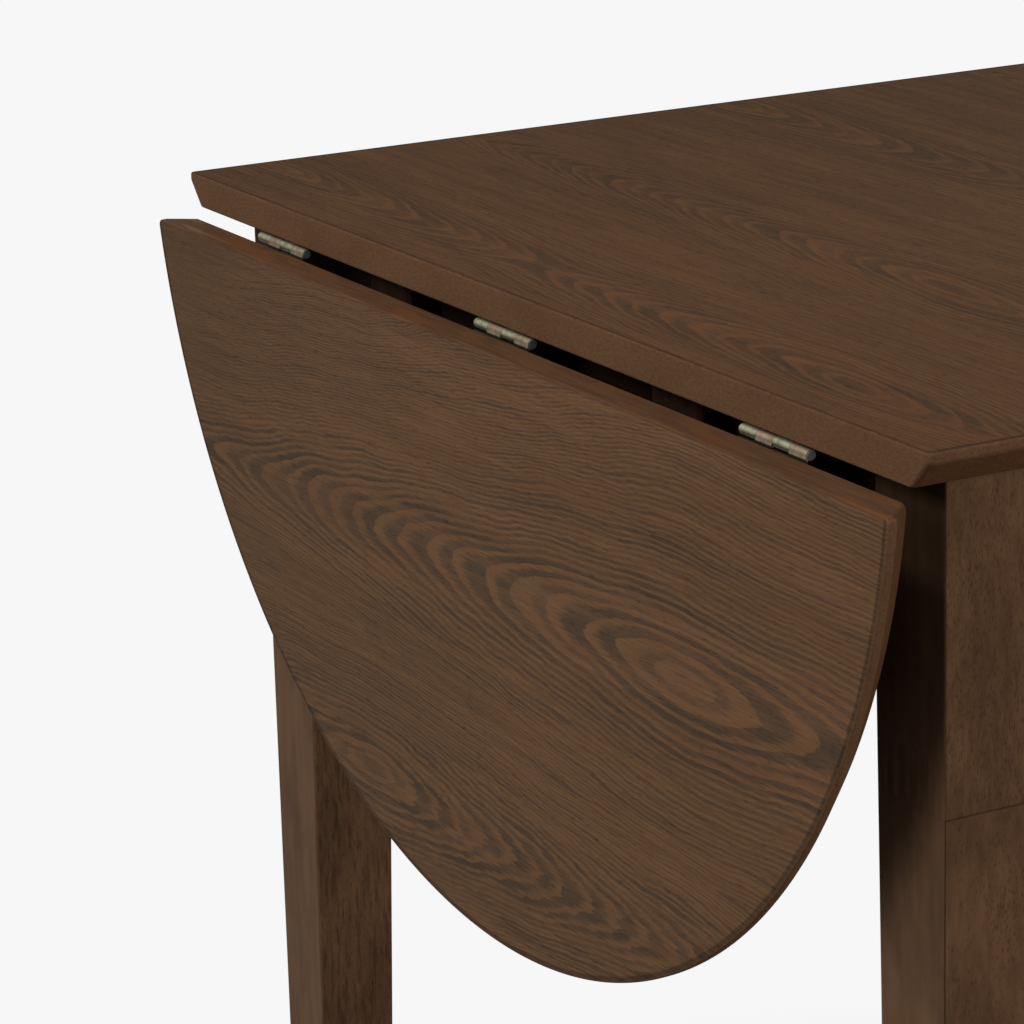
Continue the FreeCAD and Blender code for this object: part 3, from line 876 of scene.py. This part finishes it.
def veneer(name, hearts, place, rim_line, seed, light=(106, 77, 52), dark=(71, 57, 45),
           coarse_mm=(170.0, 230.0), dark_share=0.55, gloss=0.02, quiet_shaded_corner_mm=(130.0, 300.0)):
    """Stained ash veneer. Each row of hearts has its HEART_VALUES, in mm and rings."""
    material, tree, shader = new_material(name)
    along, across, rim, _ = place(tree)

    def wobble(along_mm, across_mm, reach_mm, lift):
        spot = vector_of(along / along_mm, across / across_mm, seed + lift)
        return (noise(spot, 1.0) - 0.5) * reach_mm

    bent = {"Along": along + wobble(30.0, 15.0, 16.0, 0.5) + wobble(140.0, 60.0, 40.0, 4.5),
            "Across": across + wobble(34.0, 16.0, 4.0, 1.5) + wobble(150.0, 70.0, 16.0, 2.5)}
    counts = [use_group(tree, hearts_group, {**bent, **dict(zip(HEART_VALUES, heart))}) for heart in hearts]
    rings, beside = counts[0]["Rings"], counts[0]["Sideways"]
    for other in counts[1:]:
        rings = rings.maths("SMOOTH_MIN", other["Rings"], 3.0)
        beside = beside.maths("SMOOTH_MIN", other["Sideways"], 2.0)
    made = use_group(tree, rings_group, {
        "Rings": rings, "Along": along, "Across": across, "Seed": seed, "Dark Share": dark_share,
        "Coarseness": ramp(across, *coarse_mm, 0.25, 1.1), "Calm": ramp(beside, 4.0, 9.0)})
    clouds = noise(vector_of(along / 170.0, across / 16.0, seed + 6.5), 3.0)
    # painted shade: the far corner by the hinged edge is darkened, and its figure calmed
    shaded_far_corner = ramp(along, *quiet_shaded_corner_mm) * ramp(across, 95.0, 50.0)
    figure = made["Dark"] * shaded_far_corner.line(-0.4, 1.0)
    colour = darken(blend_colours(figure, colour_of(*light), colour_of(*dark)), shaded_far_corner, 0.16)
    for mask, depth in ((made["Streaks"], 0.14), (clouds, 0.14), (made["Threads"], 0.22)):
        colour = darken(colour, ramp(mask, *CLOUDY), depth)
    colour = blend_colours(made["Pores"] * 0.45, colour, PORE_BROWN)
    # painted shade: the board grows gently darker towards its far end
    colour = darken(colour, ramp(along, -120.0, 330.0), 0.14)
    colour = darken(colour, ramp(rim + wobble(9.0, 9.0, 1.2, 8.5), 3.8, 2.7), rim_line)
    height = made["Dark"].line(-0.3, made["Pores"] * -1.0)
    fill(shader, {"Base Color": colour, "Roughness": made["Pores"].line(0.15, WOOD_ROUGHNESS),
                  "Specular IOR Level": gloss, "Normal": bump_of(height, 0.04)})
    return material


# %% The three boards' own coordinates
HINGE_EDGE_LESS_MM = 1.2     # the dark line is this much narrower along the hinged edges


def leaf_place(side):
    """Along and across a leaf as if raised, the distance to its round rim, and the height, all in mm."""
    def read(tree):
        turn = -side * HANG
        pin = Vector((side * PIN_X, 0.0, PIN_Z)) * 1000
        shift = pin - Matrix.Rotation(turn, 3, "Y") @ pin
        x, y, z = split(millimetres(tree, (0.0, turn, 0.0), tuple(shift)))
        out = x * float(side)
        rim = LEAF_RADIUS_MM - length_of(vector_of(out - LEAF_CENTRE_MM, y))
        return y * -float(side), out - LEAF_BUTT_MM, rim, z
    return read


def top_place(tree):
    """The same for the fixed top."""
    x, y, z = split(millimetres(tree))
    to_hinges = TOP_HALF_WIDTH_MM + HINGE_EDGE_LESS_MM - abs(x)
    return y, x, (TOP_HALF_LENGTH_MM - abs(y)).maths("MINIMUM", to_hinges), z


# %% Hearts of the three boards
leaf_hearts = {-1: [(-185.0, 114.5, 95.0, 27.0, 40.0, 1.7, 78.0, 0.64, 0.001),
                    (130.0, 249.5, 50.0, 45.0, 25.0, 1.45, 55.0, 0.3, 0.0)],
               1: [(-120.0, 92.0, 95.0, 27.0, 40.0, 1.7, 75.0, 0.6, 0.001),
                   (190.0, 215.0, 60.0, 38.0, 24.0, 1.5, 60.0, 0.2, 0.0)]}
top_hearts = [(-120.0, -127.0, 90.0, 21.0, 30.0, 1.5, 65.0, 0.3, 0.001),
              (-242.0, -262.0, 90.0, 22.0, 20.0, 1.6, 40.0, 0.3, 0.0),
              (330.0, -256.0, 50.0, 30.0, 30.0, 1.6, 40.0, 0.6, 0.0),
              (340.0, 40.0, 50.0, 30.0, 30.0, 1.8, 50.0, 0.2, 0.0),
              (-260.0, 210.0, 60.0, 26.0, 18.0, 1.8, 50.0, 0.9, 0.001)]
NOWHERE_MM = (600.0, 700.0)  # beyond the board, so that a change there never shows
leaf_veneer = {side: veneer("leaf_veneer_" + name, leaf_hearts[side], leaf_place(side), rim_line=0.45,
                            seed=3.5 + 1.5 * side) for side, name in SIDES}
# The top is the same veneer as the leaves; its browns are written darker, a painted shade that offsets the
# stronger light on the level top.
top_veneer = veneer("top_veneer", top_hearts, top_place, rim_line=0.52, seed=8.0, light=(97, 67, 42),
                    dark=(73, 55, 39), coarse_mm=NOWHERE_MM, dark_share=0.66, gloss=WOOD_GLOSS,
                    quiet_shaded_corner_mm=NOWHERE_MM)
print("veneer nodes", len(top_veneer.node_tree.nodes), "on the top")

# %% [markdown]
# ## Worn edges
# Sanding and handling change the stain along every eased edge, but not evenly. The attribute arris says
# where the edges are; one group breaks it up with a soft noise, so that the wear comes and goes, and every
# solid wood uses it.

# %% Wear mask
def wear_group():
    group, given = new_group("arris_wear", {"Place": "Vector", "Arris": 0.0, "Least": 0.4})
    patchy = ramp(noise(given["Place"]), 0.35, 0.6, given["Least"], 1.0)
    return close_group(group, {"Wear": given["Arris"] * patchy})


arris_wear = wear_group()

# %% Solid stained wood
UPRIGHT_TURNS = {"Z": (0.0, 0.0, 0.0), "Y": (math.pi / 2, 0.0, 0.0), "X": (0.0, math.pi / 2, 0.0)}


def solid_wood(name, grain_along, light, dark, material=None, seed=1.0, pore=0.4, pore_gate=0.76, cloud=0.25,
               streak_mm=(5.0, 110.0), pore_mm=(0.75, 5.0), arris_dark=0.25, roughness=WOOD_ROUGHNESS,
               gloss=WOOD_GLOSS):
    """Stained solid wood; grain_along is X, Y or Z. Gives the material, its tree, shader and colour."""
    material, tree, shader = new_material(name, material)
    made = use_group(tree, plain_grain, {
        "Place": millimetres(tree, UPRIGHT_TURNS[grain_along]), "Seed": seed, "Pore Gate": pore_gate,
        "Streak Width": streak_mm[0], "Streak Length": streak_mm[1],
        "Pore Width": pore_mm[0], "Pore Length": pore_mm[1]})
    colour = blend_colours(ramp(made["Streaks"], 0.3, 0.7), colour_of(*light), colour_of(*dark))
    colour = darken(colour, ramp(made["Clouds"], *CLOUDY), cloud)
    colour = blend_colours(made["Pores"] * pore, colour, PORE_BROWN)
    arris = wire(tree, "Attribute", output="Fac", attribute_name="arris", attribute_type="GEOMETRY")
    worn = use_group(tree, arris_wear, {"Place": millimetres(tree), "Arris": arris})["Wear"]
    colour = darken(colour, worn, arris_dark)
    fill(shader, {"Base Color": colour, "Roughness": made["Pores"].line(0.15, roughness),
                  "Specular IOR Level": gloss, "Normal": bump_of(made["Pores"] * -1.0, 0.05)})
    return material, tree, shader, colour


# %% Aprons, supports and raw wood
APRON_BROWNS = (80, 57, 41), (66, 47, 34)
APRON_SHADE_MM = (682.0, 697.0)      # height: painted shade, the aprons darken up to the gap under the top
LOPER_END_STAIN_AND_SHADE_MM = (268.0, 270.0)    # distance from the middle: end grain drinks in more stain, and painted shade darkens the ends further in the gap under the top
apron_y, tree, shader, colour = solid_wood("apron_wood_long", "Y", *APRON_BROWNS, seed=9.0)
height = split(millimetres(tree))[2]
# painted shade: the long aprons are darkened near their top, where they sit in the gap under the top
fill(shader, {"Base Color": darken(colour, ramp(height, *APRON_SHADE_MM), 0.75)})
apron_x = solid_wood("apron_wood_cross", "X", *APRON_BROWNS, seed=12.0)[0]
loper_wood, tree, shader, colour = solid_wood("loper_wood", "X", (80, 58, 42), (66, 48, 35), seed=15.0)
outward = abs(split(millimetres(tree))[0])
# the loper ends: end grain takes more stain, deepened with painted shade
fill(shader, {"Base Color": darken(colour, ramp(outward, *LOPER_END_STAIN_AND_SHADE_MM), 0.7)})
raw_x = solid_wood("raw_wood", "X", (196, 166, 126), (176, 144, 104), seed=18.0, pore=0.35, cloud=0.12,
                   arris_dark=0.1, roughness=0.6)[0]
print("woods under the top", apron_y.name, apron_x.name, loper_wood.name, raw_x.name)

# %% [markdown]
# ## Rims and hinged edges
# The rims are moulded: a narrow upright band, then a slope that runs in under the board. The band is painted
# paler and greyer, a painted sheen for the light it reflects, while the slope keeps the plain stain. Both
# have no long grain to show, only a fine speckle. The hinged edges are cut square; on the leaves, drips of
# lacquer have pooled there in glossy orange spots.

# %% Rims and hinged edges
SHEEN_BAND_MM = 5.2
SHEEN_TINT = (1.4, 1.55, 1.85)
SPECKLE_MM, SHORT_PORES_MM = (1.2, 3.0), (0.5, 1.5)


def rim_wood(name, seed, place):
    """Moulded rim with a painted sheen on its upright band; place reads the board's own coordinates."""
    material, tree, shader, colour = solid_wood(
        name, "Y", (88, 60, 38), (76, 50, 32), seed=seed, pore=0.3, cloud=0.15, streak_mm=SPECKLE_MM,
        pore_mm=SHORT_PORES_MM, arris_dark=0.3)
    below_face = FACE_Z * 1000 - place(tree)[3]
    # painted sheen: the upright band is made paler and greyer, for the light it reflects
    band = ramp(below_face, SHEEN_BAND_MM + 0.8, SHEEN_BAND_MM - 0.4)
    pale = wire(tree, "VectorMath", {0: colour, 1: SHEEN_TINT}, operation="MULTIPLY")
    fill(shader, {"Base Color": blend_colours(band, colour, pale)})
    return material


def hinged_edge(name, seed, light, dark, pooled):
    """Square-cut edge; pooled says if lacquer has run together in spots."""
    material, tree, shader, colour = solid_wood(
        name, "Y", light, dark, seed=seed, pore=0.25, cloud=0.12,
        streak_mm=(2.5, 30.0) if pooled else SPECKLE_MM, pore_mm=SHORT_PORES_MM, arris_dark=0.45)
    if pooled:
        place = wire(tree, "Mapping", {"Vector": millimetres(tree), "Scale": (0.12, 0.024, 0.12)})
        pool = ramp(noise(place, 0.0), 0.55, 0.68)
        fill(shader, {"Base Color": blend_colours(pool, colour, colour_of(89, 59, 36)),
                      "Coat Weight": pool * 0.06})
    return material


top_rim = rim_wood("top_rim", 2.0, top_place)
leaf_rim = {side: rim_wood("leaf_rim_" + name, 3.0 + side, leaf_place(side)) for side, name in SIDES}
top_edge = hinged_edge("top_edge", 7.0, (94, 69, 49), (84, 60, 43), False)
leaf_edge = hinged_edge("leaf_edge", 4.0, (89, 63, 44), (76, 53, 37), True)
print("rims", len(leaf_rim) + 1, "edges", top_edge.name, leaf_edge.name)

# %% [markdown]
# ## Leg wood
# A leg is glued up from two lengths of wood with a finger joint, a row of interlocking tongues. It shows as a
# comb on two faces and as a straight seam on the other two, and the grain changes across it. The comb is
# a distance field: a folded sawtooth across the face, cut off at the tongues' tips.

# %% Leg finish
SEAM_MM, TONGUE_PITCH_MM, TONGUE_LONG_MM = 583.0, 8.5, 25.0
LEG_HEAD_SHADE_MM = (680.0, 712.0)  # height: painted shade, the combed faces darken up to the gap under the top


def leg_finish(name, seed, combed, dark_line_depth, light, dark, material=None, **grain):
    """One pair of faces of a leg; combed faces show the tongues of the joint."""
    material, tree, shader, colour = solid_wood(name, "Z", light, dark, material, seed=seed, **grain)
    x, y, z = split(millimetres(tree))
    under = SEAM_MM - z
    if combed:
        fold = y.maths("PINGPONG", TONGUE_PITCH_MM / 2)
        tongue = (fold - TONGUE_PITCH_MM / 4).maths("SMOOTH_MIN", under + TONGUE_LONG_MM, 2.0)
        under = under.maths("MAXIMUM", tongue)
    lower = under.maths("GREATER_THAN", 0.0)
    masks = next(node for node in tree.nodes if node.type == "GROUP" and node.node_tree == plain_grain)
    fill(masks, {"Seed": lower.line(7.0, seed), "Pore Gate": lower.line(0.04, grain["pore_gate"])})
    if combed:
        # painted shade on the side faces, in the gap under the top
        colour = darken(colour, ramp(z, *LEG_HEAD_SHADE_MM), 0.5)
    else:
        place = wire(tree, "Mapping", {"Vector": millimetres(tree), "Scale": (0.4, 0.4, 0.05)})
        stripes = ramp(noise(place, 3.0, 0.6), 0.46, 0.66) * ramp(y, -100.0, 100.0, 0.1, 1.0)
        colour = darken(colour, stripes, 0.34)
    colour = darken(colour, ramp(abs(under), 0.75, 0.15), dark_line_depth)
    # painted shade: a thin dark line along each corner of the leg, where the rounded arris turns from the
    # light; deeper below the seam
    from_corner = (FACE_X * 1000 - abs(x)).maths("MAXIMUM", FACE_Y * 1000 - abs(y))
    colour = darken(colour, ramp(from_corner, 0.9, 0.55) * lower.line(0.25, 0.3), 1.0)
    fill(shader, {"Base Color": colour})
    return material


# One wood in two finishes: the side faces' browns are written a little greyer than the ends', which paints in
# the grey sheen those faces catch.
leg_side = leg_finish("leg_side_wood", 6.0, True, 0.12, (95, 71, 52), (86, 63, 45), leg_wood, pore=0.3,
                      pore_gate=0.8, cloud=0.34, streak_mm=(6.0, 70.0), pore_mm=(0.6, 5.0), gloss=0.02)
leg_end = leg_finish("leg_end_wood", 31.0, False, 0.45, (101, 74, 53), (90, 65, 47), pore=0.4,
                     pore_gate=0.7, cloud=0.28, streak_mm=(3.0, 12.0), pore_mm=(0.8, 2.8), gloss=0.004)
print("leg finishes", leg_side.name, leg_end.name)

# %% [markdown]
# ## Metal and plastic
# The hinges are zinc plated, which gives a pale, slightly greenish grey with faint cloudy stains. Bolts and
# screws are plainer steel, and the glides are black plastic with a fine moulded grain.

# %% Stains on plating
def plating_group():
    """Cloudy stains on plated steel, and the roughness that goes with them."""
    group, given = new_group("cloudy_plating", {
        "Place": "Vector", "Clean": "Color", "Stain": "Color", "Roughness": 0.4})
    cloud = noise(scaled(given["Place"], 0.35), 4.0, 0.6)
    return close_group(group, {
        "Colour": blend_colours(ramp(cloud, *CLOUDY), given["Clean"], given["Stain"]),
        "Roughness": cloud.line(0.25, given["Roughness"])})


cloudy_plating = plating_group()

# %% Metal and plastic finishes
TURNED_EDGE_MM = (3.1, 3.25), (4.3, 4.1)    # distances from the pin where the turned edge starts and ends; painted shadow lies there, under the barrel


def plated(name, clean, stain, roughness, material=None, dark_line_depth=0.0):
    """Plated steel; the last argument paints a shadow along the edge that a hinge plate turns in towards its
    pin, under the barrel.
    """
    material, tree, shader = new_material(name, material)
    place = millimetres(tree)
    made = use_group(tree, cloudy_plating, {
        "Place": place, "Clean": colour_of(*clean), "Stain": colour_of(*stain), "Roughness": roughness})
    colour = made["Colour"]
    if dark_line_depth:
        x, _, z = split(place)
        from_pin = length_of(vector_of(abs(x) - PIN_X * 1000, z - PIN_Z * 1000))
        start, end = TURNED_EDGE_MM
        # painted shadow: the plate's turned edge, tucked under the barrel, is darkened
        colour = darken(colour, ramp(from_pin, *start) * ramp(from_pin, *end), dark_line_depth)
    fill(shader, {"Base Color": colour, "Roughness": made["Roughness"], "Metallic": 1.0})
    return material


top_plate_zinc = plated("top_plate_zinc", (140, 138, 116), (108, 106, 86), 0.38)
leaf_plate_zinc = plated("leaf_plate_zinc", (134, 118, 98), (106, 92, 76), 0.42, dark_line_depth=0.85)
pin_steel = plated("pin_steel", (100, 104, 100), (80, 84, 84), 0.6)
plain_steel = plated("plain_steel", (170, 172, 174), (140, 140, 140), 0.28)
plated("screw_steel", (190, 188, 176), (160, 156, 140), 0.28, screw_steel)

glide_plastic, tree, shader = new_material("glide_plastic")
speck = noise(millimetres(tree), 3.0, 0.6)
fill(shader, {"Base Color": blend_colours(speck, colour_of(30, 30, 31), colour_of(44, 43, 42)),
              "Roughness": speck.line(0.2, 0.45), "Normal": bump_of(speck, 0.03)})
print("materials", len(bpy.data.materials))

# %% [markdown]
# ## Painting
# A redrawn piece gets its finishes in the order of its material slots. A solid that was right as it came
# keeps its shape, and only the material in its slots changes.

# %% Paint every piece
def finish_piece(piece, *finishes):
    for finish in finishes:
        piece.data.materials.append(finish)


def repaint(node, finish):
    """Give a carried-over solid its finish."""
    solid = frame["nodes"][node]
    if not solid.material_slots:
        solid.data.materials.append(finish)
    for item in solid.material_slots:
        item.material = finish


finish_piece(top, top_veneer, top_rim, top_edge)
for side, leaf in leaves.items():
    finish_piece(leaf, leaf_veneer[side], leaf_rim[side], leaf_edge)
for leg in legs:
    finish_piece(leg, leg_side, leg_end)
for name, piece in aprons.items():
    finish_piece(piece, apron_y if name in ("left", "right") else apron_x)
for pieces, finish in ((lopers, loper_wood), (blocks + guides, raw_x), (pins, pin_steel)):
    for piece in pieces:
        finish_piece(piece, finish)
for piece in plates:
    finish_piece(piece, top_plate_zinc if "top_plate" in piece.name else leaf_plate_zinc)
for node in ("leg_bolts", "leg_bolt_washers", "leg_bolt_nuts", "top_brackets"):
    repaint(node, plain_steel)
repaint("foot_glides", glide_plastic)
for name in quarters:
    repaint("loper_peg_" + name, loper_wood)
bare = [thing.name for thing in bpy.data.objects if thing.type == "MESH" and not thing.data.materials]
print("meshes with no finish", bare)

# %% Colours as written
bpy.context.scene.view_settings.view_transform = "Standard"
